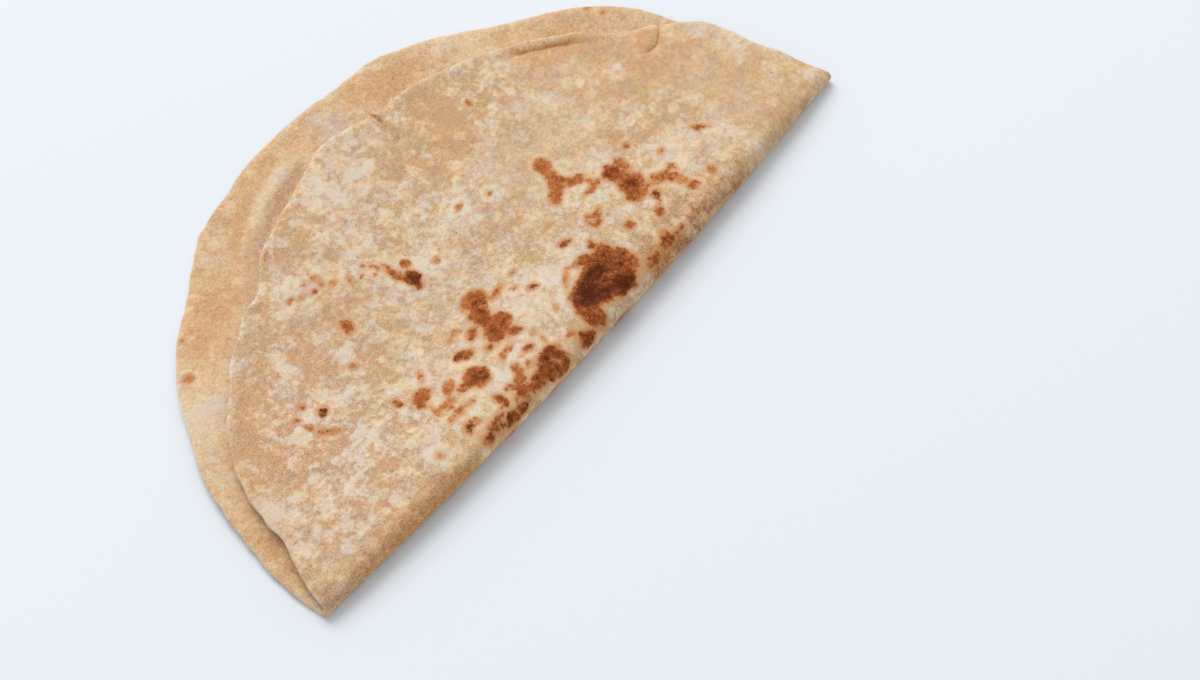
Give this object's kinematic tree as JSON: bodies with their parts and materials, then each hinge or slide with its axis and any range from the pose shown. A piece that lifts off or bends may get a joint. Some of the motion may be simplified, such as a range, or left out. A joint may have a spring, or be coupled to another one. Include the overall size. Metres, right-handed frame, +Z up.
{
  "type": "folded chapati flatbread",
  "caption": "Thin round wholewheat flatbread with browned spots, folded in half with the lower leaf showing past the upper one.",
  "frame": {"origin": "middle of the bread's bounding box, on the surface it lies on", "axes": "+X along the fold, +Y from the fold towards the rims of the leaves, +Z up"},
  "size_m": [0.205, 0.1081, 0.0083],
  "materials": {
    "crust": "dry, matte griddle-baked wheat dough with pale flour and brown spots"
  },
  "bodies": {
    "root": {"chapati": "crust"}
  },
  "joints": []
}
